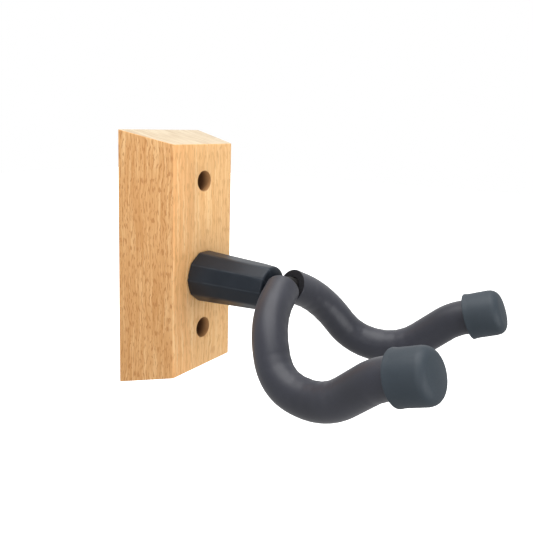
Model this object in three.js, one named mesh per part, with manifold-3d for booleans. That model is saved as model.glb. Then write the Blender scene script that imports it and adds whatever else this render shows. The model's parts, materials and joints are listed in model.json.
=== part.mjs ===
// Wall guitar hanger: a bevelled beech block that screws to the wall, and a padded steel yoke that
// turns on a shaft through the block. Millimetres, +Z up.
// Origin: the centre of the block's back face. The wall is the plane Y = 0 and the room is at -Y.
// Sizes called "out" are distances from the wall, so a point that is `out` away lies at Y = -out.
import * as THREE from "three";
import { ConvexGeometry } from "three/addons/geometries/ConvexGeometry.js";
import { mergeVertices } from "three/addons/utils/BufferGeometryUtils.js";
import Module from "manifold-3d";

const wasm = await Module();
wasm.setup();

// Driving dimensions
const BLOCK = { width: 47.2, height: 100, frontWidth: 35.4, frontHeight: 89.8, depth: 23.1 };
const SCREW_HOLE = { upper: 30.4, lower: -28.9, headRadius: 4, headDepth: 14, shankRadius: 2.25 };
const AXIS_HEIGHT = -7.5;
const RECESS = { radius: 6.8, depth: 12 };
const BORE_RADIUS = 5.3;
const FRONT_SEAT = { radius: 7.2, depth: 1.1 };
const BUSH = { inner: 4.1, outer: 5.15, flange: 1 };
const SHAFT = { radius: 4, tail: 0.9, tailRadius: 2.95, shoulder: 10.95, neck: 56.3 };
const NOSE = { radius: 2.4, end: 58.9 };
const WELD = { radius: 2.8, start: 57.8 };
const COLLAR = {
  sides: 10,
  back: 23.3,
  front: 56.3,
  backRadius: 10.3,
  frontRadius: 8.65,
  rimRadius: 7.4,
  chamfer: 1.1,
  seatRadius: 8.4,
  seatDepth: 1.2,
};
const ROD_RADIUS = 3;
const FOAM = { outer: 6.15, inner: 3.4, insideCap: 6.4 };
const CAP = { length: 12.7, radius: 8, lip: 0.2, lipLength: 1.4, bore: 6.5, boreDepth: 7 };
const CAP_END_ROUNDING = 3.3;
const GAP = 0.1;
const ROUND = 48;

// The right arm as a bent rod: the corners of its straight legs as [x, out, height above the axis],
// and how far from each corner its bend starts. The left arm is its mirror image.
const CROWN = { corner: [0, 61.8, 3], bend: 3 };
const ARM_CORNERS = [
  { corner: [19.4, 66.2, -5.7], bend: 12.3 },
  { corner: [27.6, 76.3, -22.3], bend: 8.6 },
  { corner: [30.4, 95, -24.3], bend: 10.3 },
  { corner: [34, 113.3, -9.1], bend: 4 },
];
const ARM_END = [35.3, 127.5, -4.1];
const ROD_INSIDE_CAP = 9;
const FOAM_START = 3.4;

const finish = (colour, roughness, metalness = 0) =>
  new THREE.MeshStandardMaterial({ color: colour, roughness, metalness });
const BEECH = finish(0xe0b27c, 0.6);
const COLLAR_PLASTIC = finish(0x2b3136, 0.4);
const FOAM_RUBBER = finish(0x4a484b, 0.8);
const CAP_VINYL = finish(0x3d454c, 0.6);
const BLACK_STEEL = finish(0x1c1c1e, 0.5, 0.6);
const ZINC = finish(0xb8bcc0, 0.35, 1);
const NYLON = finish(0xe6e4da, 0.5);

function toSolid(geometry) {
  const bare = geometry.clone();
  bare.deleteAttribute("normal");
  bare.deleteAttribute("uv");
  const merged = mergeVertices(bare, 1e-4);
  return new wasm.Manifold(
    new wasm.Mesh({
      numProp: 3,
      vertProperties: merged.attributes.position.array,
      triVerts: new Uint32Array(merged.index.array),
    }),
  );
}

function toGeometry(solid) {
  const mesh = solid.getMesh();
  const geometry = new THREE.BufferGeometry();
  geometry.setAttribute("position", new THREE.BufferAttribute(mesh.vertProperties, 3));
  geometry.setIndex(new THREE.BufferAttribute(mesh.triVerts, 1));
  geometry.computeVertexNormals();
  return geometry;
}

const cut = (geometry, ...tools) =>
  toGeometry(tools.reduce((left, tool) => left.subtract(toSolid(tool)), toSolid(geometry)));

function named(name, geometry, material) {
  const mesh = new THREE.Mesh(geometry, material);
  mesh.name = name;
  return mesh;
}

// A solid of revolution about the swivel axis. Its profile is a list of [radius, out].
function turned(profile, sides = ROUND, phase = 0) {
  const points = profile.map(([radius, out]) => new THREE.Vector2(radius, out));
  return new THREE.LatheGeometry(points, sides, phase).rotateX(Math.PI);
}

const ring = (inner, outer, from, to, sides = ROUND) =>
  turned([[inner, from], [outer, from], [outer, to], [inner, to], [inner, from]], sides);

const rod = (radius, from, to, sides = ROUND) =>
  turned([[0, from], [radius, from], [radius, to], [0, to]], sides);

// The wood block: a truncated pyramid with two stepped screw holes and a stepped bore for the shaft.
function woodBlock() {
  const corners = [];
  for (const side of [-1, 1]) {
    for (const end of [-1, 1]) {
      corners.push(new THREE.Vector3((side * BLOCK.width) / 2, 0, (end * BLOCK.height) / 2));
      corners.push(
        new THREE.Vector3(
          (side * BLOCK.frontWidth) / 2,
          -BLOCK.depth,
          (end * BLOCK.frontHeight) / 2,
        ),
      );
    }
  }
  const past = BLOCK.depth + 1;
  const holes = [
    rod(RECESS.radius, -1, RECESS.depth).translate(0, 0, AXIS_HEIGHT),
    rod(BORE_RADIUS, RECESS.depth - 1, past).translate(0, 0, AXIS_HEIGHT),
    rod(FRONT_SEAT.radius, BLOCK.depth - FRONT_SEAT.depth, past).translate(0, 0, AXIS_HEIGHT),
  ];
  for (const height of [SCREW_HOLE.upper, SCREW_HOLE.lower]) {
    const headFrom = BLOCK.depth - SCREW_HOLE.headDepth;
    holes.push(rod(SCREW_HOLE.headRadius, headFrom, past).translate(0, 0, height));
    holes.push(rod(SCREW_HOLE.shankRadius, -1, headFrom + 1).translate(0, 0, height));
  }
  return named("wood_block", cut(new ConvexGeometry(corners), ...holes), BEECH);
}

// Flanged nylon bushes, one pressed into each end of the bore.
const BORE_MIDDLE = 16.8;

function frontBush() {
  const { inner, outer } = BUSH;
  const step = BLOCK.depth - FRONT_SEAT.depth + GAP;
  const profile = [
    [inner, BORE_MIDDLE + GAP],
    [outer, BORE_MIDDLE + GAP],
    [outer, step],
    [FRONT_SEAT.radius - GAP, step],
    [FRONT_SEAT.radius - GAP, BLOCK.depth],
    [inner, BLOCK.depth],
    [inner, BORE_MIDDLE + GAP],
  ];
  return named("front_bush", turned(profile), NYLON);
}

function rearBush() {
  const { inner, outer, flange } = BUSH;
  const step = RECESS.depth - GAP;
  const profile = [
    [inner, step - flange],
    [RECESS.radius - 2 * GAP, step - flange],
    [RECESS.radius - 2 * GAP, step],
    [outer, step],
    [outer, BORE_MIDDLE - GAP],
    [inner, BORE_MIDDLE - GAP],
    [inner, step - flange],
  ];
  return named("rear_bush", turned(profile), NYLON);
}

// A slippery washer in the collar's back end, between the collar and the block.
const thrustWasher = () =>
  named(
    "thrust_washer",
    ring(BUSH.inner, COLLAR.seatRadius - 0.3, BLOCK.depth + GAP, BLOCK.depth + GAP + 1.1),
    NYLON,
  );

// The shaft: a threaded tail for the nut, a bearing length, and a thin nose welded to the yoke.
function swivelShaft() {
  const { radius, tail, tailRadius, shoulder, neck } = SHAFT;
  const bevel = 0.6;
  const profile = [
    [0, tail],
    [tailRadius - bevel, tail],
    [tailRadius, tail + bevel],
    [tailRadius, shoulder],
    [radius, shoulder],
    [radius, neck],
    [NOSE.radius, neck],
    [NOSE.radius, NOSE.end],
    [0, NOSE.end],
  ];
  return named("swivel_shaft", turned(profile), ZINC);
}

// The ten-sided sleeve that covers the shaft. It tapers outwards and has a chamfered front end.
function collar() {
  const { sides, back, front, backRadius, frontRadius, rimRadius, chamfer } = COLLAR;
  const outside = turned(
    [
      [0, back],
      [backRadius, back],
      [frontRadius, front - chamfer],
      [rimRadius, front],
      [0, front],
    ],
    sides,
    Math.PI / 2,
  );
  const seat = rod(COLLAR.seatRadius, back - 1, back + COLLAR.seatDepth);
  const bore = rod(BUSH.inner, back - 1, front + 1);
  return named("collar", cut(outside, seat, bore), COLLAR_PLASTIC);
}

const place = ([x, out, height]) => new THREE.Vector3(x, -out, height);

const mirrored = ({ corner: [x, out, height], bend }) => ({ corner: [-x, out, height], bend });

// The centreline of a bent rod: straight legs, and a curve at each corner that touches both legs.
function bentPath(start, bends, end) {
  const path = new THREE.CurvePath();
  let from = start;
  bends.forEach(({ corner, bend }, i) => {
    const here = place(corner);
    const next = i + 1 < bends.length ? place(bends[i + 1].corner) : end;
    const enter = here.clone().add(from.clone().sub(here).setLength(bend));
    const leave = here.clone().add(next.clone().sub(here).setLength(bend));
    if (enter.distanceTo(from) > 0.05) path.add(new THREE.LineCurve3(from, enter));
    path.add(new THREE.QuadraticBezierCurve3(enter, here, leave));
    from = leave;
  });
  path.add(new THREE.LineCurve3(from, end));
  return path;
}

function swept(path, radius, sides, steps, holeRadius = 0, holeSides = sides) {
  const circle = (size, count) =>
    Array.from({ length: count }, (_, i) => {
      const angle = (i / count) * 2 * Math.PI;
      return new THREE.Vector2(size * Math.cos(angle), size * Math.sin(angle));
    });
  const section = new THREE.Shape(circle(radius, sides));
  if (holeRadius > 0) section.holes.push(new THREE.Path(circle(holeRadius, holeSides)));
  return new THREE.ExtrudeGeometry(section, { steps, extrudePath: path });
}

const LAST_CORNER = place(ARM_CORNERS[ARM_CORNERS.length - 1].corner);
const ROD_END = place(ARM_END);
const CAP_DIRECTION = ROD_END.clone().sub(LAST_CORNER).normalize();
const CAP_START = ROD_END.clone().addScaledVector(CAP_DIRECTION, -ROD_INSIDE_CAP);
const FOAM_END = CAP_START.clone().addScaledVector(CAP_DIRECTION, FOAM.insideCap);
const CROWN_POINT = place(CROWN.corner);
const FOAM_FROM = CROWN_POINT.clone().add(
  place(ARM_CORNERS[0].corner).sub(CROWN_POINT).setLength(FOAM_START),
);
const flipX = new THREE.Vector3(-1, 1, 1);

// One steel rod bent into the whole yoke, from cap to cap.
function yokeRod() {
  const bends = [...ARM_CORNERS].reverse().map(mirrored);
  bends.push(CROWN, ...ARM_CORNERS);
  const path = bentPath(ROD_END.clone().multiply(flipX), bends, ROD_END.clone());
  return named("yoke_rod", swept(path, ROD_RADIUS, 12, 84), BLACK_STEEL);
}

// The weld that joins the shaft's nose to the back of the rod's crown.
function weldBead() {
  const inner = NOSE.radius + GAP;
  const profile = [
    [inner, WELD.start],
    [WELD.radius, NOSE.end - 0.5],
    [WELD.radius, NOSE.end],
    [inner, NOSE.end],
    [inner, WELD.start],
  ];
  return named("weld_bead", turned(profile, 24), BLACK_STEEL);
}

function foamSleeve(side, name) {
  const bends = side > 0 ? ARM_CORNERS : ARM_CORNERS.map(mirrored);
  const mirror = (point) => (side > 0 ? point.clone() : point.clone().multiply(flipX));
  const path = bentPath(mirror(FOAM_FROM), bends, mirror(FOAM_END));
  return named(name, swept(path, FOAM.outer, 20, 30, FOAM.inner, 16), FOAM_RUBBER);
}

// A moulded cap that slips over the foam, with a lip at its mouth and a rounded end.
function endCap(side, name) {
  const { length, radius, lip, lipLength, bore, boreDepth } = CAP;
  const profile = [
    [0, ROD_INSIDE_CAP + 0.5],
    [ROD_RADIUS + 0.4, ROD_INSIDE_CAP + 0.5],
    [ROD_RADIUS + 0.4, boreDepth],
    [bore, boreDepth],
    [bore, 0],
    [radius + lip, 0],
    [radius + lip, lipLength / 2],
    [radius, lipLength],
  ];
  const arcSteps = 5;
  for (let i = 0; i <= arcSteps; i += 1) {
    const angle = (i / arcSteps) * (Math.PI / 2);
    profile.push([
      radius - CAP_END_ROUNDING * (1 - Math.cos(angle)),
      length - CAP_END_ROUNDING * (1 - Math.sin(angle)),
    ]);
  }
  profile.push([0, length]);
  const points = profile.map(([r, along]) => new THREE.Vector2(r, along));
  const mesh = named(name, new THREE.LatheGeometry(points, 32), CAP_VINYL);
  const mirror = (vector) => (side > 0 ? vector.clone() : vector.clone().multiply(flipX));
  mesh.position.copy(mirror(CAP_START));
  mesh.quaternion.setFromUnitVectors(new THREE.Vector3(0, 1, 0), mirror(CAP_DIRECTION));
  return mesh;
}

// Behind the block: washer, spring washer and nylon-insert lock nut on the shaft's threaded tail.
const HARDWARE_INNER = SHAFT.tailRadius + GAP;
const WASHER = { radius: 6, from: 9.2, to: 10.8 };
const SPRING = { radius: 5.5, from: 7.5, to: 9.1, slit: 0.9 };
const NUT = { corner: 5.77, from: 3.2, to: 7.4, crownRadius: 4.5, crownFrom: 1.6 };
const INSERT = { radius: 3.9, from: 1.9, to: 3.3 };

const flatWasher = () =>
  named("flat_washer", ring(HARDWARE_INNER, WASHER.radius, WASHER.from, WASHER.to), ZINC);

function springWasher() {
  const { radius, from, to, slit } = SPRING;
  const slot = new THREE.BoxGeometry(slit, to - from + 2, radius * 2);
  slot.translate(0, -(from + to) / 2, radius);
  slot.rotateY(Math.PI / 5);
  return named("spring_washer", cut(ring(HARDWARE_INNER, radius, from, to), slot), ZINC);
}

function lockNut() {
  const { corner, from, to, crownRadius, crownFrom } = NUT;
  const hexagon = toSolid(rod(corner, from, to, 6));
  const bevel = 0.7;
  const rounding = toSolid(
    turned([
      [0, from],
      [corner - bevel, from],
      [corner + bevel, from + bevel],
      [corner + bevel, to - bevel],
      [corner - bevel, to],
      [0, to],
    ]),
  );
  const crown = toSolid(rod(crownRadius, crownFrom, from + 1));
  const hole = toSolid(rod(HARDWARE_INNER, crownFrom - 1, to + 1));
  const pocket = toSolid(rod(INSERT.radius + GAP, INSERT.from, INSERT.to + GAP));
  const mouth = toSolid(rod(INSERT.radius - 0.3, crownFrom - 1, INSERT.from + 1));
  const body = hexagon.intersect(rounding).add(crown);
  const solid = body.subtract(hole).subtract(pocket).subtract(mouth);
  return named("lock_nut", toGeometry(solid), ZINC);
}

const lockNutInsert = () =>
  named(
    "lock_nut_insert",
    ring(HARDWARE_INNER, INSERT.radius, INSERT.from + GAP, INSERT.to),
    NYLON,
  );

const hanger = new THREE.Group();
hanger.add(woodBlock());

const onAxis = new THREE.Group();
onAxis.position.z = AXIS_HEIGHT;
onAxis.add(frontBush(), rearBush(), thrustWasher());
onAxis.add(swivelShaft(), collar(), yokeRod(), weldBead());
onAxis.add(foamSleeve(-1, "foam_sleeve_left"), foamSleeve(1, "foam_sleeve_right"));
onAxis.add(endCap(-1, "end_cap_left"), endCap(1, "end_cap_right"));
onAxis.add(flatWasher(), springWasher(), lockNut(), lockNutInsert());
hanger.add(onAxis);

export default hanger;
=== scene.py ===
import json
import math

import bmesh
import bpy
import numpy as np
from mathutils import Matrix, Vector


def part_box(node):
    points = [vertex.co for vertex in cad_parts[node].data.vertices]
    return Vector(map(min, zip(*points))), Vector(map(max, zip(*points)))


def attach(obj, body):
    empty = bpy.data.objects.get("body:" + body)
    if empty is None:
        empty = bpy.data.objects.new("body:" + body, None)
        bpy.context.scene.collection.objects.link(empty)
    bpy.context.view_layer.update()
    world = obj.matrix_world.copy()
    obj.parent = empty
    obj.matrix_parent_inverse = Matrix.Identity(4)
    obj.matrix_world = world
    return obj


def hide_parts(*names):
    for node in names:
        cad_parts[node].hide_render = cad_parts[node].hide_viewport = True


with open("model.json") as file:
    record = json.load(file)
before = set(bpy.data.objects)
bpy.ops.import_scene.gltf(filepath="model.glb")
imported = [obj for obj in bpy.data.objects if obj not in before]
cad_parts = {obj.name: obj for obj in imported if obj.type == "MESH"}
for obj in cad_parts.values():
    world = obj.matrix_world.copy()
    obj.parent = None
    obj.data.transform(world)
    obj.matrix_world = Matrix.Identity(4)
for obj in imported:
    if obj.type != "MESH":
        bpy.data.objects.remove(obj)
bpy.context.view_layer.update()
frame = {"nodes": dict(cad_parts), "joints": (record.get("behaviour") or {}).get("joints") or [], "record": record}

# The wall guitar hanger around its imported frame. Sizes are in millimetres until a mesh is made.
# The wall is the plane y = 0, the room is at -y, and "out" is the distance from the wall.
MM = 0.001

AXIS_HEIGHT = frame["joints"][0]["pos_m"][2] / MM


def node_box(node):
    """A CAD node's lowest and highest corner in millimetres."""
    low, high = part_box(node)
    return np.array(low) / MM, np.array(high) / MM


# Sizes that both the shapes and the materials use.
COLLAR_SIDES = 10
BLOCK_FRONT = node_box("wood_block")[0][1]
SCREW_HEAD = {"radius": 4, "depth": 14}
SCREW_SHANK = 2.25


# Camera and light ---------------------------------------------------------------------------

PLACE = Vector((-189.7, -177.8, 52.7)) * MM
HEADING, DIP, ROLL = (math.radians(angle) for angle in (56.57, 7.40, 1.34))
LENS = 42.04
SHIFT = -0.1135


def make_camera():
    forward = Vector(
        (math.sin(HEADING) * math.cos(DIP), math.cos(HEADING) * math.cos(DIP), -math.sin(DIP))
    )
    level = Vector((math.cos(HEADING), -math.sin(HEADING), 0))
    upright = level.cross(forward)
    right = math.cos(ROLL) * level + math.sin(ROLL) * upright
    up = math.cos(ROLL) * upright - math.sin(ROLL) * level
    camera = bpy.data.objects.new("camera", bpy.data.cameras.new("camera"))
    camera.data.sensor_width = 36
    camera.data.lens = LENS
    camera.data.shift_y = SHIFT
    camera.data.clip_start = 0.005
    camera.matrix_world = Matrix.Translation(PLACE) @ Matrix(
        (right, up, -forward)
    ).transposed().to_4x4()
    bpy.context.scene.collection.objects.link(camera)
    bpy.context.scene.camera = camera


MIDDLE = Vector((0, -0.06, -0.01))
# Each softbox's direction from the middle of the hanger, its distance, its side and its power.
SOFTBOXES = {
    "key": ((-1.00, -0.30, 0.20), 1.8, 1.4, 6.0),
    "top": ((-0.10, 0.05, 1.00), 1.0, 1.1, 12.5),
    "front": ((-0.25, -1.00, -0.10), 1.8, 1.4, 18.5),
    "rim": ((0.90, 0.45, 0.35), 1.4, 0.7, 0.6),
}
FILL = 0.58
FILL_BEHIND = 0.75
FLOOR_HEIGHT = -0.35


def make_softboxes():
    for name, (direction, distance, side, power) in SOFTBOXES.items():
        toward = Vector(direction).normalized()
        light = bpy.data.objects.new(name, bpy.data.lights.new(name, "AREA"))
        light.data.shape = "SQUARE"
        light.data.size = side
        light.data.energy = power
        light.location = MIDDLE + toward * distance
        light.rotation_mode = "QUATERNION"
        light.rotation_quaternion = toward.to_track_quat("Z", "Y")
        bpy.context.scene.collection.objects.link(light)


def make_world():
    """White to look at. It lights the hanger softly, more strongly from behind than from the front."""
    world = bpy.data.worlds.new("studio")
    bpy.context.scene.world = world
    world.use_nodes = True
    tree = world.node_tree
    add, link = tree.nodes.new, tree.links.new
    facing = add("ShaderNodeVectorMath")
    facing.operation = "DOT_PRODUCT"
    facing.inputs[1].default_value = (math.sin(HEADING), math.cos(HEADING), 0.2)
    link(add("ShaderNodeTexCoord").outputs["Generated"], facing.inputs[0])
    spread = add("ShaderNodeMapRange")
    limits = {"From Min": 0.0, "From Max": 1.0, "To Min": FILL, "To Max": FILL_BEHIND}
    for name, value in limits.items():
        spread.inputs[name].default_value = value
    link(facing.outputs["Value"], spread.inputs["Value"])
    strength = add("ShaderNodeMix")
    strength.inputs["B"].default_value = 1.0
    link(add("ShaderNodeLightPath").outputs["Is Camera Ray"], strength.inputs["Factor"])
    link(spread.outputs["Result"], strength.inputs["A"])
    background = tree.nodes["Background"]
    background.inputs["Color"].default_value = (1, 1, 1, 1)
    link(strength.outputs["Result"], background.inputs["Strength"])


def make_floor():
    """A pale floor far below, which the camera sees and which throws no light up."""
    half = 4.0
    corners = ((-half, -half), (half, -half), (half, half), (-half, half))
    mesh = bpy.data.meshes.new("floor")
    mesh.from_pydata([(x, y, FLOOR_HEIGHT) for x, y in corners], [], [(0, 1, 2, 3)])
    floor = bpy.data.objects.new("floor", mesh)
    bpy.context.scene.collection.objects.link(floor)
    floor.visible_diffuse = floor.visible_glossy = False
    g = Graph("pale_floor")
    mottle = g.noise(g.place(0.01), 1.0, 2)
    g.set("Base Color", g.ramp(mottle, ((0.3, (0.88, 0.88, 0.88)), (0.7, (0.92, 0.92, 0.92)))))
    g.set("Roughness", 0.9)
    g.set("Emission Color", (1, 1, 1, 1))
    g.set("Emission Strength", 0.9)
    mesh.materials.append(g.material)


def make_studio():
    scene = bpy.context.scene
    scene.view_settings.view_transform = "Standard"
    scene.view_settings.look = "None"
    make_camera()
    make_world()
    make_softboxes()
    make_floor()


# Materials ----------------------------------------------------------------------------------


class Graph:
    """A procedural material in the making: each method adds a node and returns its output."""

    def __init__(self, name):
        self.material = bpy.data.materials.new(name)
        self.material.use_nodes = True
        self.tree = self.material.node_tree
        self.shader = self.tree.nodes["Principled BSDF"]
        self.coordinates = self.tree.nodes.new("ShaderNodeTexCoord")

    def put(self, socket, value):
        if isinstance(value, bpy.types.NodeSocket):
            self.tree.links.new(value, socket)
        else:
            socket.default_value = value

    def set(self, name, value):
        self.put(self.shader.inputs[name], value)

    def node(self, kind, inputs=(), out=0, **settings):
        node = self.tree.nodes.new(kind)
        for name, value in settings.items():
            setattr(node, name, value)
        for name, value in dict(inputs).items():
            self.put(node.inputs[name], value)
        return node.outputs[out]

    def place(self, *per_mm):
        """Object coordinates in millimetres, times one factor or one for each axis."""
        scale = per_mm * 3 if len(per_mm) == 1 else per_mm
        return self.node(
            "ShaderNodeMapping",
            {"Vector": self.coordinates.outputs["Object"], "Scale": [s / MM for s in scale]},
        )

    def noise(self, vector, scale, detail=3, roughness=0.5):
        inputs = {"Vector": vector, "Scale": scale, "Detail": detail, "Roughness": roughness}
        return self.node("ShaderNodeTexNoise", inputs)

    def cells(self, vector, out="Distance"):
        return self.node("ShaderNodeTexVoronoi", {"Vector": vector, "Scale": 1.0}, out)

    def maths(self, operation, a, b=0.0):
        node = self.tree.nodes.new("ShaderNodeMath")
        node.operation = operation
        for socket, value in zip(node.inputs, (a, b)):
            self.put(socket, value)
        return node.outputs[0]

    def band(self, value, low, high):
        """0 below low and 1 above high, with a smooth step between. low may be the larger."""
        flip = low > high
        inputs = {"Value": value, "From Min": min(low, high), "From Max": max(low, high)}
        inputs.update({"To Min": float(flip), "To Max": float(not flip)})
        return self.node("ShaderNodeMapRange", inputs, interpolation_type="SMOOTHSTEP")

    def ramp(self, value, stops):
        node = self.tree.nodes.new("ShaderNodeValToRGB")
        self.put(node.inputs[0], value)
        ends = node.color_ramp.elements
        while len(ends) < len(stops):
            ends.new(0.5)
        for element, (position, colour) in zip(ends, stops):
            element.position = position
            element.color = (*colour, 1)
        return node.outputs[0]

    def mix(self, factor, a, b, blend="MIX"):
        node = self.tree.nodes.new("ShaderNodeMix")
        node.data_type = "RGBA"
        node.blend_type = blend
        self.put(node.inputs["Factor"], factor)
        for socket, value in zip((node.inputs[6], node.inputs[7]), (a, b)):
            self.put(socket, (*value, 1) if isinstance(value, tuple) else value)
        return node.outputs[2]

    def wash(self, mask, amount, under, over):
        """The under colour with some of the over colour where the mask is 1."""
        return self.mix(self.maths("MULTIPLY", mask, amount), under, over)

    def bump(self, height, distance_mm, strength=1.0):
        inputs = {"Height": height, "Distance": distance_mm * MM, "Strength": strength}
        self.set("Normal", self.node("ShaderNodeBump", inputs))

    def axes(self, vector):
        node = self.tree.nodes.new("ShaderNodeSeparateXYZ")
        self.put(node.inputs[0], vector)
        return node.outputs


def screw_heights():
    return [m["pos_m"][2] / MM for m in frame["record"]["mounts"] if "screw" in m["name"]]


def in_screw_hole(g, place, height):
    """1 in the screw hole at that height, wide as far as the head's seat and narrow behind it."""
    x, y, z = place
    rise = g.maths("SUBTRACT", z, height)
    reach = g.maths("SQRT", g.maths("ADD", g.maths("POWER", x, 2.0), g.maths("POWER", rise, 2.0)))
    seat = BLOCK_FRONT + SCREW_HEAD["depth"]
    before_seat = g.band(y, seat + 1.0, seat + 0.5)
    by_head = g.band(reach, SCREW_HEAD["radius"] + 0.25, SCREW_HEAD["radius"] - 0.02)
    by_shank = g.band(reach, SCREW_SHANK + 0.25, SCREW_SHANK + 0.03)
    return g.maths("MAXIMUM", g.maths("MULTIPLY", by_head, before_seat), by_shank)


def beech():
    """Beech: wavy lines and dark marks on the side bevels, fainter in front, pale end grain, and painted shade
    darkening the screw holes with depth.
    """
    g = Graph("beech")
    x, y, z = g.axes(g.place(1))
    waves = g.noise(g.place(0.10, 0.10, 0.26), 1.0, 2)
    drift = g.noise(g.place(0.05, 0.05, 0.018), 1.0, 2)
    sway = g.maths("ADD", g.maths("MULTIPLY", waves, 1.2), g.maths("MULTIPLY", drift, 7.0))
    bent_x = g.maths("ADD", x, sway)
    bent_y = g.maths("ADD", y, sway)

    def stretched(u, per_u, per_z, seed):
        inputs = {
            "X": g.maths("MULTIPLY", u, per_u),
            "Y": g.maths("MULTIPLY", z, per_z),
            "Z": seed,
        }
        return g.node("ShaderNodeCombineXYZ", inputs)

    def dashes(u, per_u, per_z, seed):
        return g.band(g.noise(stretched(u, per_u, per_z, seed), 1.0, 2, 0.4), 0.54, 0.62)

    side_bands = g.noise(stretched(bent_y, 0.30, 0.02, 1.0), 1.0, 2)
    side_lines = g.noise(stretched(bent_y, 1.3, 0.035, 2.0), 1.0, 3, 0.55)
    side_dashes = dashes(bent_y, 2.0, 0.34, 3.0)
    side = g.ramp(side_bands, ((0.32, (0.67, 0.342, 0.126)), (0.68, (0.745, 0.408, 0.166))))
    side = g.wash(g.band(side_lines, 0.50, 0.32), 0.8, side, (0.86, 0.550, 0.262))
    side = g.wash(g.band(side_lines, 0.50, 0.68), 0.8, side, (0.62, 0.300, 0.100))
    side = g.wash(side_dashes, 0.72, side, (0.50, 0.210, 0.062))

    front_bands = g.noise(stretched(bent_x, 0.16, 0.012, 4.0), 1.0, 2)
    front_lines = g.noise(stretched(bent_x, 1.0, 0.022, 5.0), 1.0, 3, 0.6)
    front_dashes = dashes(bent_x, 1.45, 0.26, 6.0)
    front = g.ramp(front_bands, ((0.34, (0.88, 0.505, 0.210)), (0.66, (0.92, 0.570, 0.262))))
    front = g.mix(g.band(x, 0.0, -16.0), front, (0.88, 0.470, 0.188))
    front = g.wash(g.band(front_lines, 0.50, 0.34), 0.8, front, (0.96, 0.64, 0.32))
    front = g.wash(g.band(front_lines, 0.50, 0.66), 0.7, front, (0.76, 0.405, 0.150))
    front = g.wash(front_dashes, 0.45, front, (0.62, 0.300, 0.100))

    rings = g.noise(g.place(0.55, 0.07, 0.3), 1.0, 3)
    end = g.ramp(rings, ((0.35, (0.50, 0.385, 0.250)), (0.65, (0.62, 0.515, 0.365))))

    facing = g.axes(g.coordinates.outputs["Normal"])
    is_side = g.band(g.maths("ABSOLUTE", facing[0]), 0.55, 0.85)
    is_end = g.band(g.maths("ABSOLUTE", facing[2]), 0.55, 0.85)
    colour = g.mix(is_end, g.mix(is_side, front, side), end)
    # In the screw holes: the wood's own tone at the mouth, then painted shade making it darker with depth.
    depth = g.band(y, BLOCK_FRONT, BLOCK_FRONT + 5.0)
    hole_wood_and_shade = g.ramp(depth, ((0.0, (0.52, 0.27, 0.110)), (1.0, (0.105, 0.046, 0.018))))
    for height in screw_heights():
        colour = g.mix(in_screw_hole(g, (x, y, z), height), colour, hole_wood_and_shade)
    g.set("Base Color", colour)
    g.set("Roughness", g.ramp(front_lines, ((0.3, (0.50,) * 3), (0.8, (0.62,) * 3))))
    g.set("Specular IOR Level", 0.35)
    grain = g.mix(is_side, front_dashes, side_dashes)
    g.bump(g.maths("MULTIPLY", grain, -1.0), 0.05, 0.5)
    return g.material


def collar_plastic():
    """Near-black moulded plastic with a faint blue cast, with painted highlights in patches along the edges of its
    flats.
    """
    g = Graph("collar_plastic")
    cloud = g.noise(g.place(0.12), 1.0, 3)
    grain = g.noise(g.place(3.5), 1.0, 2)
    # Noise that breaks the painted edge highlight into patches.
    highlight_patches = g.noise(g.place(0.9, 0.12, 0.9), 1.0, 3)
    base = g.ramp(cloud, ((0.3, (0.0140, 0.0185, 0.0255)), (0.7, (0.0180, 0.0235, 0.0320))))
    x, _, z = g.axes(g.place(1))
    turn = g.maths("ARCTAN2", g.maths("SUBTRACT", z, AXIS_HEIGHT), x)
    flats = g.maths("MULTIPLY", turn, COLLAR_SIDES / (2 * math.pi))
    from_edge = g.maths("ABSOLUTE", g.maths("SUBTRACT", flats, g.maths("ROUND", flats)))
    # Painted highlight: light lines in patches along the edges between the flats.
    edge_painted_highlight = g.maths("MULTIPLY", g.band(from_edge, 0.075, 0.02), g.band(highlight_patches, 0.30, 0.62))
    g.set("Base Color", g.wash(edge_painted_highlight, 0.5, base, (0.048, 0.058, 0.070)))
    g.set("Roughness", g.ramp(cloud, ((0.3, (0.30,) * 3), (0.7, (0.38,) * 3))))
    g.set("Specular IOR Level", 0.22)
    g.bump(grain, 0.012, 0.5)
    return g.material


def foam_rubber():
    """Closed-cell tubing with a dull skin: dark grey, finely pitted, with soft broad highlights."""
    g = Graph("foam_rubber")
    cloud = g.noise(g.place(0.06), 1.0, 3)
    pits = g.cells(g.place(2.6))
    grain = g.noise(g.place(5.0), 1.0, 2)
    base = g.ramp(cloud, ((0.3, (0.0215, 0.0228, 0.0325)), (0.7, (0.0295, 0.0310, 0.0435))))
    g.set("Base Color", g.mix(g.band(pits, 0.30, 0.12), base, (0.015, 0.0155, 0.021)))
    g.set("Roughness", g.ramp(grain, ((0.3, (0.37,) * 3), (0.7, (0.46,) * 3))))
    g.set("Specular IOR Level", 0.44)
    g.set("Sheen Weight", 0.08)
    g.set("Sheen Roughness", 0.5)
    g.bump(g.maths("ADD", g.band(pits, 0.12, 0.35), g.maths("MULTIPLY", grain, 0.5)), 0.03, 0.5)
    return g.material


def cut_foam():
    """The open cells where the tubing is cut, almost black."""
    g = Graph("cut_foam")
    pores = g.cells(g.place(3.2))
    g.set("Base Color", g.ramp(pores, ((0.15, (0.004, 0.004, 0.005)), (0.5, (0.013, 0.013, 0.016)))))
    g.set("Roughness", g.ramp(pores, ((0.1, (0.95,) * 3), (0.6, (0.80,) * 3))))
    g.set("Specular IOR Level", 0.2)
    g.bump(pores, 0.08, 0.6)
    return g.material


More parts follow.
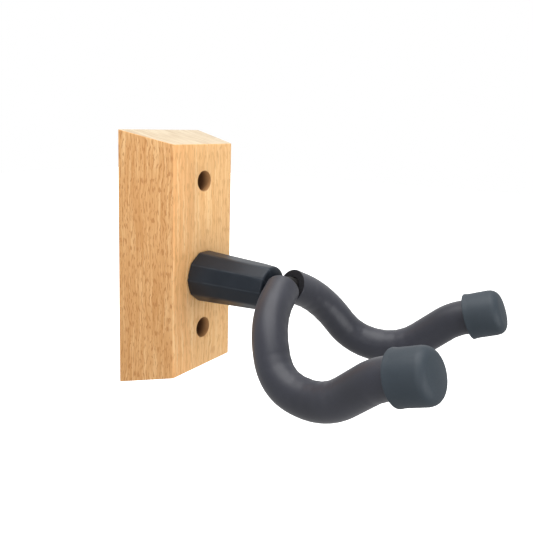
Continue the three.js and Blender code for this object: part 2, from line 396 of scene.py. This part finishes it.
def cap_vinyl():
    """Slate-grey moulded vinyl with a fine matte texture."""
    g = Graph("cap_vinyl")
    cloud = g.noise(g.place(0.10), 1.0, 3)
    grain = g.noise(g.place(4.0), 1.0, 3)
    g.set(
        "Base Color",
        g.ramp(cloud, ((0.3, (0.0230, 0.0335, 0.0445)), (0.7, (0.0285, 0.0405, 0.0535)))),
    )
    g.set("Roughness", g.ramp(grain, ((0.3, (0.50,) * 3), (0.7, (0.62,) * 3))))
    g.set("Specular IOR Level", 0.45)
    g.bump(grain, 0.02, 0.5)
    return g.material


def black_steel():
    """Black-coated steel, a little brown where the coating is thin."""
    g = Graph("black_steel")
    cloud = g.noise(g.place(0.5), 1.0, 4)
    g.set("Base Color", g.ramp(cloud, ((0.3, (0.008, 0.008, 0.009)), (0.75, (0.017, 0.016, 0.015)))))
    g.set("Roughness", g.ramp(cloud, ((0.3, (0.50,) * 3), (0.7, (0.66,) * 3))))
    g.set("Specular IOR Level", 0.35)
    g.bump(cloud, 0.02, 0.5)
    return g.material


def zinc_steel():
    """Zinc-plated steel with a faint mottle and turning marks round the shaft."""
    g = Graph("zinc_steel")
    mottle = g.noise(g.place(0.9), 1.0, 4)
    marks = g.noise(g.place(0.2, 9.0, 0.2), 1.0, 2)
    g.set("Base Color", g.ramp(mottle, ((0.3, (0.50, 0.52, 0.54)), (0.7, (0.66, 0.67, 0.66)))))
    g.set("Metallic", 1.0)
    g.set("Roughness", g.ramp(mottle, ((0.3, (0.26,) * 3), (0.7, (0.42,) * 3))))
    g.bump(marks, 0.01, 0.4)
    return g.material


def nylon():
    """Natural nylon, off-white with a soft gloss."""
    g = Graph("nylon")
    cloud = g.noise(g.place(0.4), 1.0, 3)
    g.set("Base Color", g.ramp(cloud, ((0.3, (0.74, 0.72, 0.66)), (0.7, (0.82, 0.80, 0.75)))))
    g.set("Roughness", g.ramp(cloud, ((0.3, (0.40,) * 3), (0.7, (0.50,) * 3))))
    g.set("Subsurface Weight", 0.1)
    g.bump(g.noise(g.place(5.0), 1.0, 2), 0.01, 0.4)
    return g.material


# Mesh building ------------------------------------------------------------------------------


def piece(name, mesh, body, material, replaced, sharp=35):
    """Puts a finished mesh in the scene, riding on a body and standing for CAD nodes."""
    mesh.shade_smooth()
    mesh.set_sharp_from_angle(angle=math.radians(sharp))
    mesh.materials.append(material)
    thing = bpy.data.objects.new(name, mesh)
    bpy.context.scene.collection.objects.link(thing)
    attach(thing, body)
    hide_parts(*replaced)
    return thing


def loft(name, rings, closed=False):
    """A mesh through rings of points in millimetres, closed into a loop or capped at its ends."""
    rings = [np.asarray(ring, float) for ring in rings]
    count = len(rings[0])
    points = np.vstack(rings) * MM
    faces = []
    links = len(rings) if closed else len(rings) - 1
    for i in range(links):
        a, b = i * count, (i + 1) % len(rings) * count
        for j in range(count):
            k = (j + 1) % count
            faces.append((a + j, a + k, b + k, b + j))
    if not closed:
        faces.append(tuple(reversed(range(count))))
        faces.append(tuple((len(rings) - 1) * count + j for j in range(count)))
    mesh = bpy.data.meshes.new(name)
    mesh.from_pydata(points.tolist(), [], faces)
    work = bmesh.new()
    work.from_mesh(mesh)
    bmesh.ops.recalc_face_normals(work, faces=work.faces)
    work.to_mesh(mesh)
    work.free()
    return mesh


def arc(centre, radius, start, stop, steps=6):
    """Points on an arc in a profile, from one angle to another in degrees."""
    angles = np.radians(np.linspace(start, stop, steps))
    return [(centre[0] + radius * math.cos(a), centre[1] + radius * math.sin(a)) for a in angles]


def about(origin, direction):
    """A frame for turning a profile about a line: its origin, its direction and two normals."""
    along = np.asarray(direction, float) / np.linalg.norm(direction)
    side = np.cross(along, (0, 0, 1))
    side /= np.linalg.norm(side)
    return np.asarray(origin, float), along, side, np.cross(side, along)


SWIVEL = about((0, 0, AXIS_HEIGHT), (0, -1, 0))


def turned_rings(profile, line, sides=96):
    """Rings for a profile of (radius, distance along the line)."""
    origin, along, side, up = line
    angles = np.arange(sides) / sides * 2 * math.pi
    circle = np.outer(np.cos(angles), side) + np.outer(np.sin(angles), up)
    return [origin + along * far + circle * max(radius, 1e-4) for radius, far in profile]


# The yoke's arms ----------------------------------------------------------------------------

# The right arm's straight legs, as (x, out, height above the swivel axis), and how far from each
# corner the bend starts. These are the CAD model's own driving dimensions.
CROWN = ((0, 61.8, 3), 3)
ARM_CORNERS = (
    ((19.4, 66.2, -5.7), 12.3),
    ((27.6, 76.3, -22.3), 8.6),
    ((30.4, 95, -24.3), 10.3),
    ((34, 113.3, -9.1), 4),
)
ARM_END = (35.3, 127.5, -4.1)
ROD_INSIDE_CAP = 9
ROD_RADIUS = 3
ROD_SIDES = 32
FOAM_START = 3.4
FOAM_INSIDE_CAP = 6.4
FOAM_RADIUS = 6.15
FOAM_BORE = 3.3
FOAM_SIDES = 64
FOLD_LENGTH = 5.2
FOLD_HEIGHT = 0.03
FOLD_CURVATURE = 0.09
CUT_ROUNDING = 0.2
# The extra rings that round each cut, as shares of the spacing along the tubing.
NEAR_CUT = (0.14, 0.4)


def at(point, side=1):
    return np.array((point[0] * side, -point[1], AXIS_HEIGHT + point[2]), float)


def bent_path(start, bends, end, spacing=0.5):
    """Evenly spaced points along straight legs that are joined by smooth bends."""
    points = [start]
    for i, (corner, bend) in enumerate(bends):
        after = bends[i + 1][0] if i + 1 < len(bends) else end
        enter = corner + (points[-1] - corner) / np.linalg.norm(points[-1] - corner) * bend
        leave = corner + (after - corner) / np.linalg.norm(after - corner) * bend
        for t in np.linspace(0, 1, 40):
            points.append((1 - t) ** 2 * enter + 2 * t * (1 - t) * corner + t * t * leave)
    points.append(end)
    points = np.array(points)
    run = np.r_[0, np.cumsum(np.linalg.norm(np.diff(points, axis=0), axis=1))]
    marks = np.linspace(0, run[-1], int(run[-1] / spacing) + 1)
    return np.stack([np.interp(marks, run, points[:, k]) for k in range(3)], axis=1)


def frames_along(points):
    """Tangents and two normals at each point, carried along without twist."""
    tangents = np.gradient(points, axis=0)
    tangents /= np.linalg.norm(tangents, axis=1)[:, None]
    side = np.cross(tangents[0], (0, 0, 1))
    sides = []
    for tangent in tangents:
        side = side - tangent * (side @ tangent)
        side /= np.linalg.norm(side)
        sides.append(side)
    sides = np.array(sides)
    return tangents, sides, np.cross(sides, tangents)


def bend_direction(points):
    """At each point, the vector towards the inside of the bend, as long as the curvature per mm."""
    step = np.linalg.norm(points[1] - points[0])
    return np.gradient(np.gradient(points, axis=0), axis=0) / step**2


def cap_line(side):
    corner, end = at(ARM_CORNERS[-1][0], side), at(ARM_END, side)
    direction = (end - corner) / np.linalg.norm(end - corner)
    return about(end - direction * ROD_INSIDE_CAP, direction)


def foam_rings(side):
    """The tubing: cut square at the crown, with faint folds inside its tight bends."""
    bends = [(at(corner, side), bend) for corner, bend in ARM_CORNERS]
    crown = at(CROWN[0], side)
    start = crown + (bends[0][0] - crown) / np.linalg.norm(bends[0][0] - crown) * FOAM_START
    origin, along, _, _ = cap_line(side)
    points = bent_path(start, bends, origin + along * FOAM_INSIDE_CAP)
    first, last = points[1] - points[0], points[-2] - points[-1]
    near_cut = np.array(NEAR_CUT)[:, None]
    opening, closing = points[0] + near_cut * first, points[-1] + near_cut[::-1] * last
    points = np.vstack([points[0], opening, points[1:-1], closing, points[-1]])
    _, sides, ups = frames_along(points)
    angles = np.arange(FOAM_SIDES) / FOAM_SIDES * 2 * math.pi
    across, upward = np.cos(angles)[None, :, None], np.sin(angles)[None, :, None]
    circle = across * sides[:, None] + upward * ups[:, None]
    run = np.r_[0, np.cumsum(np.linalg.norm(np.diff(points, axis=0), axis=1))]
    inward = np.einsum("ijk,ik->ij", circle, bend_direction(points))
    squeeze = np.clip(inward / FOLD_CURVATURE, 0, 1)
    folds = np.sin(run * 2 * math.pi / FOLD_LENGTH)[:, None]
    radius = FOAM_RADIUS + FOLD_HEIGHT * folds * squeeze**2
    edge = np.clip(np.minimum(run, run[-1] - run) / CUT_ROUNDING, 0, 1)[:, None]
    radius = radius - CUT_ROUNDING * (1 - np.sqrt(1 - (1 - edge) ** 2))
    outer = points[:, None] + circle * radius[:, :, None]
    inner = points[:, None] + circle * FOAM_BORE
    return [*outer, *inner[::-1]]


def make_arms(materials):
    for side, word in ((-1, "left"), (1, "right")):
        name = f"foam_tube_{word}"
        rings = foam_rings(side)
        tube = piece(
            name,
            loft(name, rings, closed=True),
            "yoke",
            materials["foam_rubber"],
            [f"foam_sleeve_{word}"],
            sharp=50,
        )
        tube.data.materials.append(materials["cut_foam"])
        skin = FOAM_SIDES * (len(rings) // 2 - 1)
        for face in tube.data.polygons:
            face.material_index = int(face.index >= skin)
        name = f"moulded_cap_{word}"
        piece(
            name,
            loft(name, turned_rings(cap_profile(), cap_line(side)), closed=True),
            "yoke",
            materials["cap_vinyl"],
            [f"end_cap_{word}"],
        )


CAP_LENGTH = 12.7
CAP_RADIUS = 8.0
CAP_LIP = 0.2
CAP_SHOULDER_DROP = 0.07
CAP_BORE = 6.4
CAP_BORE_DEPTH = 7.0
CAP_ROD_GAP = 0.3
CAP_ROD_END_GAP = 0.4
CAP_ROUNDING = 3.3
CAP_DOME = 0.5


def cap_profile():
    """A closed loop: the mouth's lip, the straight body, a crisp shoulder, a rounded end, the bore."""
    shoulder = CAP_LENGTH - CAP_DOME - CAP_ROUNDING
    profile = [
        (CAP_BORE + 0.15, 0),
        (CAP_RADIUS + CAP_LIP - 0.15, 0),
        (CAP_RADIUS + CAP_LIP, 0.15),
        (CAP_RADIUS + CAP_LIP, 0.5),
        (CAP_RADIUS + 0.08, 1.1),
        (CAP_RADIUS, 2.2),
        (CAP_RADIUS, shoulder - 0.25),
        (CAP_RADIUS - CAP_SHOULDER_DROP, shoulder),
    ]
    flat = CAP_RADIUS - CAP_SHOULDER_DROP - CAP_ROUNDING
    profile += arc((flat, shoulder), CAP_ROUNDING, 6, 86, 10)
    for step in range(1, 7):
        radius = flat * (1 - step / 6)
        profile.append((radius, CAP_LENGTH - CAP_DOME * (radius / flat) ** 2))
    profile += [
        (0, ROD_INSIDE_CAP + CAP_ROD_END_GAP),
        (ROD_RADIUS + CAP_ROD_GAP, ROD_INSIDE_CAP + CAP_ROD_END_GAP),
        (ROD_RADIUS + CAP_ROD_GAP, CAP_BORE_DEPTH),
        (CAP_BORE, CAP_BORE_DEPTH),
        (CAP_BORE, 0.15),
    ]
    return profile


def make_rod(materials):
    left = [(at(corner, -1), bend) for corner, bend in reversed(ARM_CORNERS)]
    right = [(at(corner), bend) for corner, bend in ARM_CORNERS]
    crown = (at(CROWN[0]), CROWN[1])
    points = bent_path(at(ARM_END, -1), [*left, crown, *right], at(ARM_END), 1.0)
    _, sides, ups = frames_along(points)
    angles = np.arange(ROD_SIDES) / ROD_SIDES * 2 * math.pi
    rings = [
        point + ROD_RADIUS * (np.outer(np.cos(angles), s) + np.outer(np.sin(angles), u))
        for point, s, u in zip(points, sides, ups)
    ]
    mesh = loft("bent_rod", rings)
    piece("bent_rod", mesh, "yoke", materials["black_steel"], ["yoke_rod"], 50)


WELD_SIDES = 72
WELD_THICKNESS = 0.3
WELD_RIPPLES = 12
WELD_RIPPLE_HEIGHT = 0.03


def make_weld(materials):
    """A ring of weld with the ripples that a torch leaves."""
    low, high = node_box("weld_bead")
    start, end = -high[1], -low[1]
    outer = (high[0] - low[0]) / 2
    inner = outer - WELD_THICKNESS
    profile = [(inner, start), (outer - 0.1, end - 0.7), (outer, end - 0.4), (outer, end), (inner, end)]
    rings = np.array(turned_rings(profile, SWIVEL, WELD_SIDES))
    angles = np.arange(WELD_SIDES) / WELD_SIDES * 2 * math.pi
    ripple = 1 + WELD_RIPPLE_HEIGHT * np.sin(angles * WELD_RIPPLES)
    centre = np.array((0, 0, AXIS_HEIGHT))
    for k in (1, 2):
        out = rings[k] - centre
        out[:, 0] *= ripple
        out[:, 2] *= ripple
        rings[k] = centre + out
    mesh = loft("weld_ring", rings, closed=True)
    piece("weld_ring", mesh, "yoke", materials["black_steel"], ["weld_bead"], 60)


# The collar ---------------------------------------------------------------------------------

COLLAR_FRONT_RADIUS = 8.65
COLLAR_RIM_RADIUS = 7.4
COLLAR_BORE = 4.1
COLLAR_SEAT = {"radius": 8.4, "depth": 1.2}
RIDGE_WEAR = 0.985
RIDGE_SOFTNESS = 0.05
CONE_LENGTH = 5.6
CONE_END_RADIUS = 8.3
FRONT_FILLET = 1.0


def collar_ring(flat, limit, out, per_side=20):
    """A ring with flat sides at a distance from the axis, turned down to a limiting radius."""
    step = 2 * math.pi / COLLAR_SIDES
    angle = np.arange(COLLAR_SIDES * per_side) / per_side * step
    side = flat / np.cos(angle % step - step / 2)
    radius = -RIDGE_SOFTNESS * np.logaddexp(-side / RIDGE_SOFTNESS, -limit / RIDGE_SOFTNESS)
    height = AXIS_HEIGHT + radius * np.sin(angle)
    return np.stack([radius * np.cos(angle), np.full_like(angle, -out), height], axis=1)


def collar_rings():
    """The outside from back to front, then the inside from front to back."""
    low, high = node_box("collar")
    back, front = -high[1], -low[1]
    back_radius = (high[0] - low[0]) / 2
    slope = (COLLAR_FRONT_RADIUS - back_radius) / (front - FRONT_FILLET - back)
    cone_start = front - CONE_LENGTH
    cone_radius = RIDGE_WEAR * (back_radius + slope * (cone_start - back))

    def ring(out, limit):
        corner = back_radius + slope * (out - back)
        return collar_ring(corner * math.cos(math.pi / COLLAR_SIDES), limit, out)

    worn = back_radius * RIDGE_WEAR
    rings = [ring(back, worn - 0.5), ring(back + 0.3, worn)]
    for out in np.linspace(back + 2, cone_start, 10):
        rings.append(ring(out, RIDGE_WEAR * (back_radius + slope * (out - back))))
    for t in np.linspace(0.12, 1, 6):
        out = cone_start + t * (front - FRONT_FILLET - cone_start)
        rings.append(ring(out, cone_radius + t * (CONE_END_RADIUS - cone_radius)))
    for turn in np.linspace(15, 90, 6):
        drop = 1 - math.cos(math.radians(turn))
        reach = math.sin(math.radians(turn))
        limit = CONE_END_RADIUS - (CONE_END_RADIUS - COLLAR_RIM_RADIUS) * drop
        rings.append(ring(front - FRONT_FILLET * (1 - reach), limit))

    def bore(radius, out):
        return collar_ring(radius + 5, radius, out)

    seat = back + COLLAR_SEAT["depth"]
    rings += [bore(COLLAR_BORE + 0.4, front), bore(COLLAR_BORE, front - 0.4), bore(COLLAR_BORE, seat)]
    rings += [bore(COLLAR_SEAT["radius"] - 0.1, seat), bore(COLLAR_SEAT["radius"], back)]
    return rings


def make_collar(materials):
    mesh = loft("faceted_collar", collar_rings(), closed=True)
    plastic = materials["collar_plastic"]
    piece("faceted_collar", mesh, "yoke", plastic, ["collar"], 40)


# The block ----------------------------------------------------------------------------------

FRONT_WIDTH = 35.4
FRONT_HEIGHT = 89.8
RECESS = {"radius": 6.8, "depth": 12}
BORE = 5.3
FRONT_SEAT = {"radius": 7.2, "depth": 1.1}
UPRIGHT_ROUNDING = 1.0
EDGE_ROUNDING = 0.45
HOLE_ROUNDING = 0.15


def rounded_frustum():
    """The block's outside: a truncated pyramid with soft upright edges and crisper level ones."""
    low, high = node_box("wood_block")
    depth = -low[1]
    work = bmesh.new()
    corner = {}
    for sx in (-1, 1):
        for sz in (-1, 1):
            corner[sx, sz, 0] = work.verts.new((sx * high[0], 0, sz * high[2]))
            corner[sx, sz, 1] = work.verts.new(
                (sx * FRONT_WIDTH / 2, -depth, sz * FRONT_HEIGHT / 2)
            )
    around = [(-1, -1), (1, -1), (1, 1), (-1, 1)]
    work.faces.new([corner[sx, sz, 1] for sx, sz in around])
    work.faces.new([corner[sx, sz, 0] for sx, sz in reversed(around)])
    for i, here in enumerate(around):
        there = around[(i + 1) % 4]
        rim = ((*there, 1), (*here, 1), (*here, 0), (*there, 0))
        work.faces.new([corner[key] for key in rim])
    bmesh.ops.recalc_face_normals(work, faces=work.faces)
    upright = [
        e for e in work.edges
        if all(v.co.y < -depth / 2 for v in e.verts) and abs(e.verts[0].co.x - e.verts[1].co.x) < 1
    ]
    rounding = {"affect": "EDGES", "profile": 0.5}
    bmesh.ops.bevel(work, geom=upright, offset=UPRIGHT_ROUNDING, segments=6, **rounding)
    sharp = [e for e in work.edges if e.is_manifold and e.calc_face_angle() > math.radians(35)]
    bmesh.ops.bevel(work, geom=sharp, offset=EDGE_ROUNDING, segments=3, **rounding)
    bmesh.ops.scale(work, vec=(MM, MM, MM), verts=work.verts)
    mesh = bpy.data.meshes.new("beech_block")
    work.to_mesh(mesh)
    work.free()
    return mesh, depth


def drill(radius, start, end, height):
    """A cutter along y from one distance from the wall to another."""
    line = about((0, 0, height), (0, -1, 0))
    mesh = loft("drill", turned_rings([(radius, start), (radius, end)], line))
    cutter = bpy.data.objects.new("drill", mesh)
    bpy.context.scene.collection.objects.link(cutter)
    return cutter


def make_block(materials):
    mesh, depth = rounded_frustum()
    block = bpy.data.objects.new("block_blank", mesh)
    bpy.context.scene.collection.objects.link(block)
    past = depth + 2
    cutters = [
        drill(RECESS["radius"], -2, RECESS["depth"], AXIS_HEIGHT),
        drill(BORE, RECESS["depth"] - 1, past, AXIS_HEIGHT),
        drill(FRONT_SEAT["radius"], depth - FRONT_SEAT["depth"], past, AXIS_HEIGHT),
    ]
    for height in screw_heights():
        floor = depth - SCREW_HEAD["depth"]
        cutters.append(drill(SCREW_HEAD["radius"], floor, past, height))
        cutters.append(drill(SCREW_SHANK, -2, floor + 1, height))
    for cutter in cutters:
        cut = block.modifiers.new("drill", "BOOLEAN")
        cut.object = cutter
        cut.operation = "DIFFERENCE"
        cut.solver = "EXACT"
    soften = block.modifiers.new("rims", "BEVEL")
    soften.width = HOLE_ROUNDING * MM
    soften.segments = 2
    soften.limit_method = "ANGLE"
    soften.angle_limit = math.radians(50)
    shown = block.evaluated_get(bpy.context.evaluated_depsgraph_get())
    finished = bpy.data.meshes.new_from_object(shown)
    finished.name = "beech_block"
    for thing in (block, *cutters):
        bpy.data.objects.remove(thing)
    piece("beech_block", finished, "block", materials["beech"], ["wood_block"], 40)


# The hardware behind the block --------------------------------------------------------------

SHAFT_SIDES = 48
SHAFT_CHAMFER = 0.2
SHAFT_TAIL = {"radius": 2.95, "shoulder": 10.95, "bevel": 0.5}
SHAFT_NOSE = {"neck": 56.3, "radius": 2.4}
THREAD_PITCH = 1.0
THREAD_DEPTH = 0.45
INSERT_BORE = 2.7
NUT = {"across_corners": 11.54, "crown_radius": 4.5, "crown_end": 3.2, "bore": 3.05, "pocket": 4.0}
# The nut's corners are turned down in fine steps, and the roll of its crown is an arc.
NUT_STEP = 0.18
CROWN_ROLL = 0.35


def shaft_rings():
    """The shaft as a stack of fine rings, with a helical thread on its tail."""
    low, high = node_box("swivel_shaft")
    tail, nose = -high[1], -low[1]
    radius = (high[0] - low[0]) / 2
    tail_radius, shoulder = SHAFT_TAIL["radius"], SHAFT_TAIL["shoulder"]
    neck, nose_radius = SHAFT_NOSE["neck"], SHAFT_NOSE["radius"]
    angles = np.arange(SHAFT_SIDES) / SHAFT_SIDES * 2 * math.pi
    origin, along, side, up = SWIVEL
    rings = []
    for out in np.arange(tail, shoulder, THREAD_PITCH / 8):
        turn = (out / THREAD_PITCH - angles / (2 * math.pi)) % 1
        groove = THREAD_DEPTH * (1 - np.abs(2 * turn - 1))
        bevel = max(0.0, SHAFT_TAIL["bevel"] - (out - tail))
        r = np.minimum(tail_radius - groove, tail_radius - bevel)
        across, upward = (r * np.cos(angles))[:, None], (r * np.sin(angles))[:, None]
        rings.append(origin + along * out + across * side + upward * up)
    rings += turned_rings(
        [
            (tail_radius - SHAFT_CHAMFER, shoulder),
            (radius - SHAFT_CHAMFER, shoulder),
            (radius, shoulder + SHAFT_CHAMFER),
            (radius, neck - SHAFT_CHAMFER),
            (radius - SHAFT_CHAMFER, neck),
            (nose_radius, neck),
            (nose_radius, nose),
        ],
        SWIVEL,
        SHAFT_SIDES,
    )
    return rings


def make_hardware(materials):
    zinc = materials["zinc_steel"]
    mesh = loft("threaded_shaft", shaft_rings())
    piece("threaded_shaft", mesh, "yoke", zinc, ["swivel_shaft"], 50)
    make_nut(zinc)
    low, high = node_box("lock_nut_insert")
    start, end = -high[1], -low[1]
    outer, inner = (high[0] - low[0]) / 2, INSERT_BORE
    profile = [
        (inner, start + 0.2),
        (inner + 0.2, start),
        (outer - 0.1, start),
        (outer, start + 0.1),
        (outer, end),
        (inner, end),
    ]
    mesh = loft("nylon_ring", turned_rings(profile, SWIVEL), closed=True)
    piece("nylon_ring", mesh, "yoke", materials["nylon"], ["lock_nut_insert"])


def hexagon_ring(across_corners, out, limit):
    """A ring of a hexagonal prism whose corners are turned down to a limiting radius."""
    count = 96
    _, along, side, up = SWIVEL
    points = []
    for k in range(count):
        angle = k / count * 2 * math.pi
        nearest = round(angle / (math.pi / 3) - 0.5) + 0.5
        flat = across_corners / 2 * math.cos(math.pi / 6) / math.cos(angle - nearest * math.pi / 3)
        r = min(flat, limit)
        points.append(SWIVEL[0] + along * out + side * r * math.sin(angle) + up * r * math.cos(angle))
    return np.array(points)


def make_nut(zinc):
    """A nylon-insert nut: chamfered hexagon, and a rolled crown round the insert's pocket."""
    low, high = node_box("lock_nut")
    back, front = -high[1], -low[1]
    corners, crown_radius, crown_end = NUT["across_corners"], NUT["crown_radius"], NUT["crown_end"]
    flat = corners * math.cos(math.pi / 6) / 2
    rings = turned_rings(
        [(3.6, back + 0.35), (3.65, back + 0.1), (3.9, back), (crown_radius - CROWN_ROLL, back)],
        SWIVEL,
    )
    roll = arc((crown_radius - CROWN_ROLL, back + CROWN_ROLL), CROWN_ROLL, -60, 0, 4)
    rings += turned_rings(roll, SWIVEL)
    rings += turned_rings([(crown_radius, crown_end)], SWIVEL)
    for step in range(5):
        out = crown_end + 0.02 + step * NUT_STEP
        rings.append(hexagon_ring(corners, out, flat + 0.02 + step * NUT_STEP))
    for step in range(5):
        out = front - 4 * NUT_STEP + step * NUT_STEP
        rings.append(hexagon_ring(corners, out, flat + 0.74 - step * NUT_STEP))
    bore, pocket, floor = NUT["bore"], NUT["pocket"], back + 1.8
    rings += turned_rings([(bore + 0.35, front), (bore, front - 0.35), (bore, floor)], SWIVEL)
    rings += turned_rings([(pocket, floor), (pocket, back + 0.35)], SWIVEL)
    mesh = loft("hex_nut", rings, closed=True)
    piece("hex_nut", mesh, "yoke", zinc, ["lock_nut"], 30)


CAD_EDGE = 0.12


def dress_cad_nodes(materials):
    """Gives each CAD node that stays its own finish and a smooth surface with crisp edges."""
    finishes = {
        "front_bush": "nylon",
        "rear_bush": "nylon",
        "thrust_washer": "nylon",
        "flat_washer": "zinc_steel",
        "spring_washer": "zinc_steel",
    }
    for node, finish in finishes.items():
        thing = frame["nodes"][node]
        thing.data.materials.clear()
        thing.data.materials.append(materials[finish])
        weld = thing.modifiers.new("join", "WELD")
        weld.merge_threshold = 1e-6
        edge = thing.modifiers.new("edge", "BEVEL")
        edge.width = CAD_EDGE * MM
        edge.segments = 2
        edge.limit_method = "ANGLE"
        edge.angle_limit = math.radians(50)


def main():
    make_studio()
    makers = (beech, collar_plastic, foam_rubber, cut_foam, cap_vinyl, black_steel, zinc_steel, nylon)
    materials = {maker.__name__: maker() for maker in makers}
    make_block(materials)
    make_collar(materials)
    make_arms(materials)
    make_rod(materials)
    make_weld(materials)
    make_hardware(materials)
    dress_cad_nodes(materials)


main()
